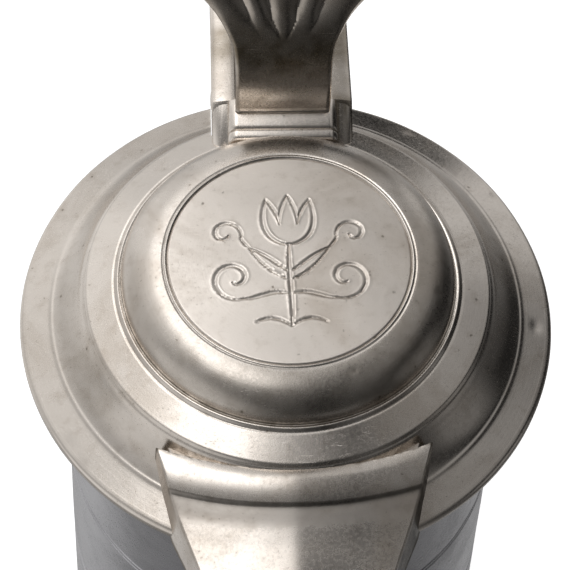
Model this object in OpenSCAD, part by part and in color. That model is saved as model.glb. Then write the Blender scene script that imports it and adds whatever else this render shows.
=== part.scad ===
// Pewter flagon with a hinged lid, a covered beak spout and a strap handle.
// The origin is the centre of the foot's underside, +Z is up, the spout points to -Y, the handle to +Y.

/* [Body] */
// Height of the mouth rim above the table
rim_z = 220; // [180:1:260]
// Overhang of the lid flange past the mouth of the drum
lid_overhang = 9.4; // [8:0.1:11]
// How much wider in radius the drum is at the foot than at the mouth
drum_flare = 10.4; // [4:0.1:14]
// Wall of the drum
drum_wall = 2.2; // [1.6:0.1:2.8]
// Drop of the soldered seam between the two drum sections below the point of the spout
seam_drop = 14; // [8:1:22]

/* [Foot] */
// Height of the moulded foot ring
foot_h = 24; // [18:1:32]
// Spread of the foot ring past the bottom of the drum
foot_spread = 10.5; // [7:0.5:16]
// Wall of the foot ring
foot_wall = 2.6; // [2:0.1:4]
// Thickness of the bottom plate
bottom_t = 2.4; // [2:0.1:3.5]

/* [Lid] */
// Radius of the flat top of the lid
disc_r = 25.9; // [22:0.1:30]
// Radial width of the rounded shoulder
dome_w = 9.5; // [8:0.1:11]
// Rise of the rounded shoulder
dome_rise = 7.6; // [5:0.1:9]
// Radial width of the sloping band
band_w = 7.8; // [7:0.1:9]
// Rise of the sloping band
band_rise = 2.6; // [1.5:0.1:4]
// Radial width of the steep hollow slope
slope_w = 7.6; // [6.7:0.1:8.7]
// Rise of the steep hollow slope
slope_rise = 8.9; // [7:0.1:10]
// Radial width of the flange
flange_w = 7.2; // [6.3:0.1:8.3]
// Rise of the flange from its edge to its crease
flange_rise = 2.6; // [1.5:0.1:3.5]
// Thickness of the flange at its edge
flange_t = 2.5; // [1.8:0.1:3.5]
// Wall of the lid
lid_wall = 2.2; // [1.6:0.1:2.6]
// Depth of the bezel below the flange
bezel_h = 5; // [3:0.5:8]
// Wall of the bezel
bezel_wall = 2; // [1.5:0.1:2.5]
// Radial clearance of the bezel in the mouth
bezel_gap = 2; // [1.6:0.1:2.4]

/* [Hinge] */
// Distance of the hinge axis inside the flange's edge
hinge_inset = 6.8; // [5.5:0.1:7]
// Height of the hinge axis above the flange's edge
hinge_h = 8.5; // [8.2:0.1:9.5]
// Radius of the two cheeks on the handle
cheek_r = 12; // [11:0.1:12.5]
// Radius of the lid's knuckle
knuckle_r = 8; // [6.5:0.1:8.2]
// Width of the lid's knuckle
knuckle_w = 20.4; // [18:0.2:21]
// Radius of the iron hinge pin
pin_r = 2.2; // [1.6:0.1:3]
// Depth of the plugs that close the pin hole
plug_t = 2; // [1:0.1:2.5]

/* [Handle] */
// Width of the strap at the hinge
strap_w = 31.5; // [30:0.5:36]
// Width of the strap at its lower end
strap_end_w = 23; // [18:0.5:28]
// Thickness of the strap
strap_t = 6.5; // [5:0.1:8]
// Height of the strap's flat top above the flange's edge
strap_top_h = 18; // [17:0.1:19]
// Length of the straight top of the strap behind the fork
strap_flat = 6; // [3:0.5:10]
// Bend radius at the top of the handle
top_bend_r = 33; // [30:0.5:38]
// Bend radius of the long back of the handle
back_bend_r = 160; // [140:1:180]
// Bend radius of the curled lower end
curl_r = 20; // [16:0.5:24]
// Length of the strut between the drum and the curled end
strut_l = 5.2; // [4:0.1:10]

/* [Thumbpiece] */
// Height of the thumbpiece above the hinge block
thumb_h = 36; // [30:0.5:40]
// Width of the shell
thumb_w = 42; // [38:0.5:46]
// Depth of the thumbpiece from front to back
thumb_d = 7.6; // [6:0.1:8]
// How far the top of the thumbpiece leans back over the hinge
thumb_lean = 16; // [10:0.5:17]

/* [Spout] */
// Reach of the spout past the mouth of the drum
spout_reach = 41; // [34:0.5:46]
// Height of the spout down the drum
spout_h = 80; // [60:1:95]
// Width of the spout where it leaves the mouth
spout_w = 57.5; // [56:0.5:59]
// Wall of the spout
spout_wall = 2.2; // [1.6:0.1:2.8]
// Width of the spout cover along its roll
cover_w = 47.3; // [46:0.1:48.5]
// Height of the roll on the spout cover above the flange's edge
roll_h = 10.2; // [9:0.1:11]
// Width of the roll from front to back
roll_w = 6.8; // [6:0.1:8]
// Height of the cover at the root of its tongue
tongue_h = 7.8; // [6.5:0.1:9]
// Height of the cover at its tip
tip_h = 1; // [0.5:0.1:2]

/* [Hidden] */
$fn = 96;

// Overrun of every cut
cut = 1;
// Clearance of pieces that swing past each other
swing_gap = 0.5;
// Side clearance of the knuckle between the cheeks
side_gap = 0.3;
// Radial running clearance of the pin in the knuckle
pin_gap = 0.05;
// Radial clearance of the pin and its plugs in the cheeks
pin_seat_gap = 0.02;
// Gap between the spout's rim and its cover
cover_gap = 0.3;

// Lid radii, counted outwards, and heights, counted up from the rim
dome_r = disc_r + dome_w;
band_r = dome_r + band_w;
crease_r = band_r + slope_w;
flange_r = crease_r + flange_w;
flange_z = rim_z + flange_t;
crease_z = flange_z + flange_rise;
band_z = crease_z + slope_rise;
dome_z = band_z + band_rise;
disc_z = dome_z + dome_rise;

// Drum radii
mouth_r = flange_r - lid_overhang;
drum_base_r = mouth_r + drum_flare;
foot_r = drum_base_r + foot_spread;
function drum_r(z) = mouth_r + drum_flare * (rim_z - z) / (rim_z - foot_h);

// Bezel radii
bezel_r = mouth_r - drum_wall - bezel_gap;
bezel_inner_r = bezel_r - bezel_wall;

// Hinge places
hinge_y = flange_r - hinge_inset;
hinge_z = flange_z + hinge_h;
cheek_gap_w = knuckle_w + 2 * side_gap;
notch_w = strap_w + 2 * swing_gap;
notch_y = hinge_y - cheek_r - swing_gap;
strap_top_z = flange_z + strap_top_h;

// Hinge block: how far it reaches in front of the hinge axis, how high it stands above the flange,
// how much wider than the knuckle it is, the reach and front height of the wings beside it, its two
// mouldings, and how far in front of the axis the thumbpiece and the block's shoulders end
block_reach = 15.6;
block_h = 19.6;
block_over = 4;
wing_reach = 17.2;
wing_front_h = 13;
block_z = flange_z + block_h;
bar_r = 2.3;
bead_r = 1.5;
thumb_back = 6.2;
shoulder_back = 8.2;
neck_share = 0.6;

// Handle path: the fork ends where the opened thumbpiece clears the strap
fork_end = 15;
fork_foot_share = 0.45;
strap_y = hinge_y + fork_end;
top_turn = 100;
curl_turn = 88;
heel_heading = 90;
path_steps = 14;

// Upper bracket: its width and how far it reaches down the drum
bracket_w = 28;
bracket_drop = 29;

// Spout: its root on the drum as a share of the mouth's radius, the steps round its tip, its tip, its
// point, and the drum's seam below it
spout_root_share = 0.8;
tip_steps = 12;
spout_root_y = -mouth_r * spout_root_share;
spout_tip_y = -(mouth_r + spout_reach);
spout_point_z = rim_z - spout_h;
seam_z = spout_point_z - seam_drop;

// Spout cover: bend of its roll in plan, its side taper, the draft and the wall of its sides, its overhang
// past the spout, and its gap to the band of the lid
cover_bend_r = 74;
cover_taper = 19.2;
cover_draft = 14;
cover_wall = 2;
pocket_fall_share = 0.45;
cover_over = 1;
cover_band_gap = 0.2;
cover_back_y = -band_r - cover_band_gap;
cover_axis_y = cover_back_y + cover_bend_r;
cover_root_y = cover_back_y - roll_w;
cover_root_z = flange_z + tongue_h;
cover_base_z = rim_z + cover_gap;
cover_tip_y = spout_tip_y - cover_over;

pewter = [0.62, 0.60, 0.56];
pewter_dark = [0.48, 0.48, 0.50];
iron = [0.30, 0.29, 0.28];

// Side view outline, given as [y, z], carried across the width
module across(width) {
    rotate([90, 0, 90])
        linear_extrude(height = width, center = true)
            children();
}

// Front view outline, given as [x, z], carried along the depth
module along(depth) {
    rotate([90, 0, 0])
        linear_extrude(height = depth, center = true)
            children();
}

// Rod across the flagon through the point [y, z]
module rod(y, z, r, width) {
    translate([0, y, z])
        rotate([0, 90, 0])
            cylinder(r = r, h = width, center = true);
}

// Outside of the tapered drum between two heights, with its radius changed by grow
module drum_cone(z0, z1, grow) {
    translate([0, 0, z0])
        cylinder(r1 = drum_r(z0) + grow, r2 = drum_r(z1) + grow, h = z1 - z0);
}

// Quarter ellipse from [r0, z0], where it is level, to [r1, z1], where it is upright
function shoulder(r0, z0, r1, z1) =
    [for (a = [0 : 10 : 90]) [r0 + (r1 - r0) * sin(a), z1 + (z0 - z1) * cos(a)]];

// Hollow quarter from [r0, z0], steep at first, to [r1, z1], flatter at the end
function hollow(r0, z0, r1, z1) =
    let (sag_share = 0.12)
    [for (s = [0 : 0.125 : 1])
        [r0 + (r1 - r0) * s, z0 + (z1 - z0) * (s + sag_share * sin(180 * s))]];

lid_outline = concat(
    [[0, rim_z], [0, disc_z]],
    shoulder(disc_r, disc_z, dome_r, dome_z),
    hollow(band_r, band_z, crease_r, crease_z),
    [[flange_r, flange_z], [flange_r, rim_z]]);

lid_cavity_outline = concat(
    [[0, rim_z - cut], [0, disc_z - lid_wall]],
    shoulder(disc_r - lid_wall / 2, disc_z - lid_wall, dome_r - lid_wall, dome_z - lid_wall),
    [[bezel_inner_r, band_z - 2 * lid_wall], [bezel_inner_r, rim_z - cut]]);

module lid_outside() {
    rotate_extrude()
        polygon(lid_outline);
}

// Moulded foot: shares of the spread and of the height, from the table upwards
foot_shares = [[1, 0], [1, 0.18], [0.9, 0.25], [0.82, 0.27], [0.6, 0.36], [0.42, 0.5], [0.28, 0.68],
               [0.2, 0.78], [0.22, 0.84], [0.16, 0.94], [0, 1]];
// Hollow behind the moulding, in the same shares, from the drum down to the bottom plate
foot_hollow_shares = [[0, 0.62], [0.2, 0.42], [0.5, 0.24], [0.8, 0.16], [1, 0.12]];

module foot_ring() {
    foot_outline = concat(
        [[drum_base_r - drum_wall, foot_h]],
        [for (i = [len(foot_shares) - 1 : -1 : 0])
            [drum_base_r + foot_spread * foot_shares[i][0], foot_h * foot_shares[i][1]]],
        [[foot_r - foot_wall, 0]],
        [for (i = [len(foot_hollow_shares) - 1 : -1 : 0])
            [drum_base_r - foot_wall + foot_spread * foot_hollow_shares[i][0],
             bottom_t + (foot_h - bottom_t) * foot_hollow_shares[i][1]]]);
    color(pewter)
        rotate_extrude()
            polygon(foot_outline);
}

module bottom_plate() {
    color(pewter_dark)
        cylinder(r = foot_r - foot_wall, h = bottom_t);
}

module drum_lower() {
    color(pewter_dark)
        difference() {
            drum_cone(foot_h, seam_z, 0);
            drum_cone(foot_h - cut, seam_z + cut, -drum_wall);
        }
}

module drum_upper() {
    color(pewter_dark)
        difference() {
            drum_cone(seam_z, rim_z, 0);
            drum_cone(seam_z - cut, rim_z + cut, -drum_wall);
            beak(spout_wall);
        }
}

// Radius of a round tip that joins two sides closing in at the taper angle: half_w is half the width
// at reach behind the tip
function tip_radius(half_w, reach) =
    (half_w - reach * tan(cover_taper)) * cos(cover_taper) / (1 - sin(cover_taper));

// Plan of the beak at the rim, drawn in by its wall: straight sides and a round tip
module beak_plan(inset) {
    outer_tip_r = tip_radius(spout_w / 2, spout_root_y - spout_tip_y);
    tip_r = outer_tip_r - inset;
    tip_y = spout_tip_y + outer_tip_r;
    root_x = spout_w / 2 - inset / cos(cover_taper);
    sweep = 180 - 2 * cover_taper;
    polygon(concat(
        [[-root_x, spout_root_y]],
        [for (i = [0 : tip_steps])
            let (a = 180 + cover_taper + sweep * i / tip_steps)
            [tip_r * cos(a), tip_y + tip_r * sin(a)]],
        [[root_x, spout_root_y]]));
}

// Wedge of the beak from the rim to its point on the drum, drawn in by its wall
module beak(inset) {
    over = inset > 0 ? cut : 0;
    hull() {
        translate([0, 0, rim_z - spout_wall])
            linear_extrude(height = spout_wall + over)
                beak_plan(inset);
        translate([0, -drum_r(spout_point_z) + drum_wall, spout_point_z + inset])
            cylinder(r = 2 * drum_wall + spout_wall - inset, h = spout_wall, $fn = 32);
    }
}

module spout() {
    color(pewter_dark)
        difference() {
            beak(0);
            beak(spout_wall);
            drum_cone(seam_z, rim_z + cut, 0);
        }
}

// End of an arc that starts at p with heading h; a positive turn bends downwards
function arc_end(p, h, r, turn) =
    let (s = sign(turn))
    [p[0] + s * r * (sin(h + turn) - sin(h)), p[1] + s * r * (cos(h + turn) - cos(h))];

// Points with headings along one arc
function arc_run(p, h, r, turn) =
    [for (i = [0 : path_steps]) [arc_end(p, h, r, turn * i / path_steps), h + turn * i / path_steps]];

strap_start = [strap_y, strap_top_z - strap_t / 2];
top_start = strap_start + [strap_flat, 0];
back_start = arc_end(top_start, 0, top_bend_r, top_turn);

// Turn of the back that leaves the strut's length between the drum and the heel of the curl
drum_lean = atan(drum_flare / (rim_z - foot_h));
heel_reach = drum_r(back_start[1] - back_bend_r * cos(top_turn)) + strut_l + strap_t / 2
    - back_start[0] + back_bend_r * sin(top_turn) + curl_r;
back_turn = 180 - top_turn - drum_lean - asin(heel_reach * cos(drum_lean) / (back_bend_r + curl_r));

curl_start = arc_end(back_start, top_turn, back_bend_r, back_turn);
curl_end = arc_end(curl_start, top_turn + back_turn, curl_r, -curl_turn);
strap_path = concat(
    [[strap_start, 0]],
    arc_run(top_start, 0, top_bend_r, top_turn),
    arc_run(back_start, top_turn, back_bend_r, back_turn),
    arc_run(curl_start, top_turn + back_turn, curl_r, -curl_turn));

// Nearest point of the curled end to the drum
heel = arc_end(curl_start, top_turn + back_turn, curl_r, heel_heading - top_turn - back_turn);

function strap_side(side) =
    [for (p = strap_path) p[0] + side * strap_t / 2 * [sin(p[1]), cos(p[1])]];

function turned_back(list) = [for (i = [len(list) - 1 : -1 : 0]) list[i]];

module strap_side_view() {
    polygon(concat(strap_side(1), turned_back(strap_side(-1))));
}

// Back view of the handle: full width at the top, tapering to a round lower end
module strap_back_view() {
    top_z = strap_top_z + cut;
    end_r = strap_end_w / 2;
    end_z = curl_end[1] - strap_t / 2 + end_r;
    polygon(concat(
        [[-strap_w / 2, top_z], [-strap_w / 2, back_start[1]]],
        [for (a = [180 : 10 : 360]) [end_r * cos(a), end_z + end_r * sin(a)]],
        [[strap_w / 2, back_start[1]], [strap_w / 2, top_z]]));
}

// Side view of the fork: round cheeks about the hinge axis, running back into the strap
module fork_side_view() {
    intersection() {
        union() {
            translate([hinge_y, hinge_z])
                circle(r = cheek_r);
            polygon([
                [hinge_y, flange_z],
                [strap_y, flange_z + strap_top_h * fork_foot_share],
                [strap_y + strap_flat, strap_top_z - strap_t],
                [strap_y + strap_flat, strap_top_z],
                [hinge_y, strap_top_z]]);
        }
        translate([hinge_y - cheek_r, flange_z])
            square([cheek_r + fork_end + strap_flat, strap_top_h]);
    }
}

module handle_strap() {
    color(pewter)
        difference() {
            union() {
                intersection() {
                    across(strap_w)
                        strap_side_view();
                    translate([0, strap_y, 0])
                        along(2 * (strap_flat + top_bend_r + strap_t))
                            strap_back_view();
                }
                across(strap_w)
                    fork_side_view();
            }
            translate([-cheek_gap_w / 2, notch_y, flange_z - cut])
                cube([cheek_gap_w, strap_y - notch_y, strap_top_h + 2 * cut]);
            rod(hinge_y, hinge_z, pin_r + pin_seat_gap, strap_w + 2 * cut);
        }
}

// Bracket under the fork, soldered to the drum
module handle_upper_bracket() {
    color(pewter)
        difference() {
            across(bracket_w)
                polygon([
                    [mouth_r - drum_wall, flange_z - bracket_drop],
                    [mouth_r - drum_wall, flange_z - flange_t],
                    [mouth_r + swing_gap, flange_z - flange_t],
                    [mouth_r + swing_gap, flange_z],
                    [hinge_y, flange_z],
                    [strap_y, flange_z + strap_top_h * fork_foot_share],
                    [strap_y, flange_z],
                    [hinge_y + knuckle_r / 2, flange_z - bracket_drop / 2]]);
            drum_cone(seam_z, rim_z, 0);
            across(strap_w)
                fork_side_view();
        }
}

// Short strut between the curled end of the strap and the drum
module handle_lower_bracket() {
    color(pewter)
        difference() {
            translate([0, 0, heel[1]])
                rotate([-90, 0, 0])
                    cylinder(r = strap_t, h = heel[0]);
            drum_cone(foot_h, rim_z, 0);
            across(strap_w)
                strap_side_view();
        }
}

module hinge_pin() {
    color(iron)
        rod(hinge_y, hinge_z, pin_r, strap_w - 2 * plug_t);
}

module hinge_pin_plugs() {
    color(pewter)
        for (side = [-1, 1])
            translate([side * (strap_w - plug_t) / 2, 0, 0])
                rod(hinge_y, hinge_z, pin_r, plug_t);
}

module lid_shell() {
    color(pewter)
        difference() {
            lid_outside();
            rotate_extrude()
                polygon(lid_cavity_outline);
            translate([-notch_w / 2, notch_y, rim_z - cut])
                cube([notch_w, flange_r, disc_z - rim_z]);
        }
}

module lid_bezel() {
    color(pewter)
        translate([0, 0, rim_z - bezel_h])
            difference() {
                cylinder(r = bezel_r, h = bezel_h);
                translate([0, 0, -cut])
                    cylinder(r = bezel_inner_r, h = bezel_h + 2 * cut);
            }
}

// Side view of the hinge block, from the shoulder of the lid back over the cheeks
module block_side_view() {
    front_y = hinge_y - block_reach;
    polygon([
        [front_y, band_z],
        [front_y, dome_z + bead_r],
        [front_y + bead_r, dome_z + bead_r],
        [front_y + bar_r, block_z],
        [hinge_y - shoulder_back, block_z],
        [hinge_y - shoulder_back, strap_top_z]
    ]);
}

// Side view of the low wings that lead from the base of the dome up to the cheeks
module wing_side_view() {
    wing_y = hinge_y - wing_reach;
    polygon([
        [wing_y, band_z - lid_wall],
        [wing_y, flange_z + wing_front_h],
        [hinge_y - shoulder_back, strap_top_z],
        [hinge_y - shoulder_back, band_z - lid_wall]]);
}

module hinge_lug() {
    front_y = hinge_y - block_reach;
    block_w = knuckle_w + block_over;
    color(pewter)
        difference() {
            union() {
                rod(hinge_y, hinge_z, knuckle_r, knuckle_w);
                across(knuckle_w)
                    polygon([
                        [notch_y, crease_z],
                        [front_y + bar_r, block_z],
                        [hinge_y - thumb_back, block_z],
                        [hinge_y - thumb_back, hinge_z + knuckle_r * neck_share],
                        [hinge_y, hinge_z]]);
                difference() {
                    union() {
                        across(block_w)
                            block_side_view();
                        rod(front_y + bar_r, block_z - bar_r, bar_r, block_w);
                        rod(front_y + bead_r, dome_z + bead_r, bead_r, block_w);
                        across(strap_w)
                            wing_side_view();
                    }
                    rod(hinge_y, hinge_z, cheek_r + swing_gap, strap_w + 2 * cut);
                }
            }
            difference() {
                lid_outside();
                translate([-notch_w / 2, notch_y, rim_z - cut])
                    cube([notch_w, flange_r, disc_z - rim_z]);
            }
            rod(hinge_y, hinge_z, pin_r + pin_gap, strap_w);
        }
}

// Front view of the thumbpiece: shares of half its width against shares of its height
thumb_width_shares = [[0.48, 0], [0.48, 0.275], [0.49, 0.38], [0.52, 0.46], [0.57, 0.52], [0.625, 0.58],
                      [0.69, 0.635], [0.77, 0.68], [0.87, 0.73], [0.95, 0.78], [1, 0.83], [0.98, 0.89],
                      [0.88, 0.94], [0.68, 0.98], [0.4, 1]];
// Side view of the thumbpiece: shares of its depth, front to back, against shares of its height
thumb_front_shares = [[0.25, 0], [0.27, 0.1], [0.3, 0.2], [0.34, 0.3], [0.38, 0.4], [0.425, 0.5], [0.47, 0.6],
                      [0.505, 0.7], [0.51, 0.8], [0.485, 0.9], [0.46, 1]];
thumb_rear_shares = [[0.76, 1], [0.88, 0.94], [0.92, 0.86], [0.93, 0.78], [0.93, 0.7], [0.94, 0.6], [0.97, 0.5],
                     [1, 0.4], [1, 0.3], [1, 0.2], [1, 0.1], [1, 0]];

module thumbpiece() {
    back_y = hinge_y - thumb_back;
    half_view = [for (p = thumb_width_shares) [thumb_w / 2 * p[0], block_z + thumb_h * p[1]]];
    side_view = concat(thumb_front_shares, thumb_rear_shares);
    color(pewter)
        intersection() {
            translate([0, back_y, 0])
                along(2 * (thumb_d + thumb_lean) + cut)
                    polygon(concat(half_view, turned_back([for (p = half_view) [-p[0], p[1]]])));
            across(thumb_w)
                polygon([for (p = side_view)
                    [back_y - thumb_d * (1 - p[0]) + thumb_lean * p[1] ^ 2, block_z + thumb_h * p[1]]]);
        }
}

// Everything within the drafted, tapering wall on one side of the cover
module cover_side(side) {
    reach = 4 * flange_r;
    mirror([side > 0 ? 1 : 0, 0, 0])
        translate([-cover_w / 2, cover_root_y, cover_root_z])
            rotate([0, 0, cover_taper])
                rotate([0, cover_draft, 0])
                    translate([0, -reach / 2, -reach / 2])
                        cube([reach, reach, reach]);
}

// What lies past the cover's round, drafted tip, from the lines where its sides run into the round
module cover_tip_corners() {
    low_z = rim_z - cut;
    high_z = flange_z + roll_h + cut;
    tip_y = cover_tip_y + (cover_root_z - cover_base_z) * tan(cover_draft);
    tip_r = tip_radius(cover_w / 2, cover_root_y - tip_y);
    low_r = tip_r + (cover_root_z - low_z) * tan(cover_draft);
    high_r = tip_r + (cover_root_z - high_z) * tan(cover_draft);
    centre_y = tip_y + tip_r;
    reach = 2 * flange_r;
    difference() {
        across(reach)
            polygon([
                [centre_y - low_r * sin(cover_taper), low_z],
                [centre_y - high_r * sin(cover_taper), high_z],
                [centre_y - reach, high_z],
                [centre_y - reach, low_z]]);
        translate([0, centre_y, low_z])
            cylinder(r1 = low_r, r2 = high_r, h = high_z - low_z);
    }
}

// Tongue of the cover: shares of its length against shares of its fall
tongue_shares = [[0, 1], [0.2, 0.62], [0.5, 0.24], [1, 0]];

// Roll and tongue of the cover, turned about the bend of its roll
module cover_roof() {
    root_r = cover_bend_r + roll_w;
    tip_r = cover_axis_y - cover_tip_y;
    roof_outline = concat(
        [[cover_bend_r, cover_base_z]],
        [for (a = [0 : 15 : 90])
            [cover_bend_r + roll_w * sin(a), cover_root_z + (roll_h - tongue_h) * cos(a)]],
        [for (s = tongue_shares)
            [root_r + (tip_r - root_r) * s[0], flange_z + tip_h + (tongue_h - tip_h) * s[1]]],
        [[tip_r + cut, flange_z + tip_h], [tip_r + cut, cover_base_z]]);
    translate([0, cover_axis_y, 0])
        rotate([0, 0, 180])
            rotate_extrude(angle = 180)
                polygon(roof_outline);
}

// Hollow under the tongue, in front of the flange
module cover_pocket() {
    back_y = -flange_r - cover_wall;
    front_y = cover_tip_y + 2 * cover_wall;
    low_z = cover_base_z - cut;
    tip_z = flange_z + tip_h - cover_wall;
    intersection() {
        across(spout_w)
            polygon([
                [back_y, low_z],
                [back_y, tip_z + (tongue_h - tip_h) * pocket_fall_share],
                [front_y, tip_z],
                [front_y, low_z]]);
        translate([0, 0, low_z])
            linear_extrude(height = roll_h)
                beak_plan(2 * spout_wall);
    }
}

module spout_cover() {
    color(pewter)
        difference() {
            intersection() {
                cover_roof();
                cover_side(1);
                cover_side(-1);
            }
            cover_tip_corners();
            cover_pocket();
            lid_outside();
        }
}

foot_ring();
bottom_plate();
drum_lower();
drum_upper();
spout();
handle_strap();
handle_upper_bracket();
handle_lower_bracket();
hinge_pin();
hinge_pin_plugs();
lid_shell();
lid_bezel();
hinge_lug();
thumbpiece();
spout_cover();
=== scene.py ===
"""Looks of the pewter flagon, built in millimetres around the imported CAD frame."""
from math import asin, atan, copysign, cos, degrees, hypot, pi, radians, sin, sqrt, tan

import bmesh
import bpy
import numpy as np
from mathutils import Matrix


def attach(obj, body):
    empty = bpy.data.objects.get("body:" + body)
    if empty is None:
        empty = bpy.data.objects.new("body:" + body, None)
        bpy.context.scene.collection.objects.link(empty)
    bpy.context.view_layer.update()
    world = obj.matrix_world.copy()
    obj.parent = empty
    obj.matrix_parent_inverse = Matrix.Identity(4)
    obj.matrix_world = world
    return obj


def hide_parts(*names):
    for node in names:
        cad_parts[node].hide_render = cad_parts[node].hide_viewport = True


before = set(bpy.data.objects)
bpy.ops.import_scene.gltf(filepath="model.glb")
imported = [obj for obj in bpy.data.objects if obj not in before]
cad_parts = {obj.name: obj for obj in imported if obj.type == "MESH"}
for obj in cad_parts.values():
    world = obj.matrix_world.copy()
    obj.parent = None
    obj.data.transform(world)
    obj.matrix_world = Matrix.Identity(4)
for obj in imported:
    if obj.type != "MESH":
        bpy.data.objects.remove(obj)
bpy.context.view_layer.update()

MM = 0.001
WELD = 0.0005
SEGMENTS, FEWER_SEGMENTS, CUT_SEGMENTS, PIN_SEGMENTS = 360, 192, 256, 48

# Main sizes of the frame, in millimetres
RIM_Z, FLANGE_Z, CREASE_Z, BAND_Z, DOME_Z, DISC_Z = 220.0, 222.5, 225.1, 234.0, 236.6, 244.2
DISC_R, DOME_R, BAND_R, CREASE_R, FLANGE_R = 25.9, 35.4, 43.2, 50.8, 58.0
DOME_RISE = DISC_Z - DOME_Z
LID_WALL, DISC_CROWN, CREASE_ROUND, HOLLOW_SAG = 2.2, 0.5, 0.1, 0.12
MOUTH_R, DRUM_FLARE, DRUM_WALL, FOOT_H, SEAM_Z = 48.6, 10.4, 2.2, 24.0, 126.0
DRUM_BASE_R = MOUTH_R + DRUM_FLARE
FOOT_SPREAD, FOOT_WALL, BOTTOM_T = 10.5, 2.6, 2.4
BEZEL_R, BEZEL_INNER_R, BEZEL_Z = 44.4, 42.4, 215.0
HINGE_Y, HINGE_Z = 51.2, 231.0
PIN_R, PIN_GAP, PLUG_T = 2.2, 0.05, 2.0
CHEEK_R, KNUCKLE_R, KNUCKLE_W, CHEEK_GAP = 12.0, 8.0, 20.4, 21.0
STRAP_W, STRAP_END_W, STRAP_T, STRAP_TOP_Z = 31.5, 23.0, 6.5, 240.5
STRAP_Y, STRAP_FLAT, FORK_ROOT_Z = 66.2, 6.0, 230.6
NOTCH_W, NOTCH_Y = 31.8, 38.7
BLOCK_Z, BLOCK_W = 242.1, 24.4
BLOCK_FRONT_Y, BLOCK_BACK_Y = 35.6, 43.0
WING_FRONT_Y, WING_FRONT_Z = 34.0, 235.5
THUMB_H, THUMB_W, THUMB_D, THUMB_BACK_Y, THUMB_LEAN = 36.0, 42.0, 7.6, 45.0, 16.0
SPOUT_TIP_Y, SPOUT_W, SPOUT_WALL, SPOUT_H = -89.6, 57.5, 2.2, 80.0
COVER_TAPER = radians(19.2)
COVER_AXIS_Y, COVER_BEND_R, COVER_W = 30.6, 74.0, 47.3
ROLL_W, ROLL_Z, TONGUE_Z, TIP_Z, COVER_BASE_Z = 6.8, 232.7, 230.3, 223.5, 220.3
COVER_ROOT_Y, COVER_TIP_Y = -50.2, -90.6


def drum_r(z):
    return MOUTH_R + DRUM_FLARE * (RIM_Z - z) / (RIM_Z - FOOT_H)


def ramp(distance, run):
    """Share of a run that is covered, from 0 to 1."""
    return np.clip(distance / run, 0, 1)


def stack(*parts):
    """Points from their coordinates."""
    return np.stack(parts, axis=-1)


# Mesh helpers

def build(name, verts, faces):
    """Object from points in millimetres, with doubles welded and normals outwards."""
    mesh = bpy.data.meshes.new(name)
    mesh.from_pydata((np.asarray(verts, float) * MM).tolist(), [], faces)
    bm = bmesh.new()
    bm.from_mesh(mesh)
    bmesh.ops.remove_doubles(bm, verts=bm.verts, dist=WELD * MM)
    bmesh.ops.recalc_face_normals(bm, faces=bm.faces)
    bm.to_mesh(mesh)
    bm.free()
    obj = bpy.data.objects.new(name, mesh)
    bpy.context.scene.collection.objects.link(obj)
    return obj


def grid_faces(rows, cols, wrap_rows=False, wrap_cols=False):
    """Quads of a grid of points stored row by row."""
    faces = []
    for i in range(rows if wrap_rows else rows - 1):
        a, b = i * cols, (i + 1) % rows * cols
        for j in range(cols if wrap_cols else cols - 1):
            k = (j + 1) % cols
            faces.append((a + j, a + k, b + k, b + j))
    return faces


def turn(profile, segments=SEGMENTS):
    """Grid of points, profile by segments, of [r, z] points turned about Z."""
    profile = np.asarray(profile, float)
    angle = np.linspace(0, 2 * pi, segments, endpoint=False)
    r, z = profile[:, :1], profile[:, 1:]
    return stack(r * np.cos(angle), r * np.sin(angle), z + 0 * angle)


def lathe(name, profile, segments=SEGMENTS, shape=None):
    """Solid turned from a closed loop of [r, z] points; shape may move the points."""
    points = turn(profile, segments)
    if shape:
        points = shape(points)
    rows = len(profile)
    on_axis = profile[0][0] == 0 and profile[-1][0] == 0
    faces = grid_faces(rows, segments, not on_axis, True)
    return build(name, points.reshape(-1, 3), faces)


def prism(name, outline, x0, x1):
    """Side view outline of [y, z] points carried from x0 to x1."""
    n = len(outline)
    verts = [(x, y, z) for x in (x0, x1) for y, z in outline]
    faces = [tuple(range(n)), tuple(range(2 * n - 1, n - 1, -1))]
    faces += [(i, (i + 1) % n, n + (i + 1) % n, n + i) for i in range(n)]
    return build(name, verts, faces)


def loft(name, points):
    """Solid through the closed loops of a grid of points, with both ends capped."""
    rows, cols = points.shape[:2]
    faces = grid_faces(rows, cols, False, True)
    faces += [tuple(range(cols)), tuple(range((rows - 1) * cols, rows * cols))]
    return build(name, points.reshape(-1, 3), faces)


PILLOW_FADE = 3.0


def pillow(name, outline, half_w, run, drop, base_z, keep=0.0):
    """Side view outline carried across, whose top falls by drop over the last run of each side.

    The fall fades in above base_z; keep is the share of it held back at the rear end.
    """
    outline = np.asarray(outline, float)
    side = half_w - run * (1 - np.sin(np.linspace(0, pi / 2, 9)))
    xs = np.concatenate([-side[::-1], side])
    loops = []
    for x in xs:
        u = max(0.0, (abs(x) - half_w + run) / run)
        fall = drop * (1 - sqrt(max(0.0, 1 - u * u)))
        high = ramp(outline[:, 1] - base_z, PILLOW_FADE)
        ahead = 1 - keep * (outline[:, 0] - outline[:, 0].min()) / np.ptp(outline[:, 0])
        loops.append([(x, y, z - fall * h) for (y, z), h in zip(outline, high * ahead)])
    return loft(name, np.array(loops))


def box(name, low, high):
    """Block between two corners."""
    outline = [(low[1], low[2]), (high[1], low[2]), (high[1], high[2]), (low[1], high[2])]
    return prism(name, outline, low[0], high[0])


def circle(y, z, r, steps, start=0.0, sweep=360.0):
    """Points of a circle in the side view, or of an arc with both its ends."""
    count = steps if sweep == 360.0 else steps + 1
    angles = [radians(start + sweep * i / steps) for i in range(count)]
    return [(y + r * cos(a), z + r * sin(a)) for a in angles]


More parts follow.
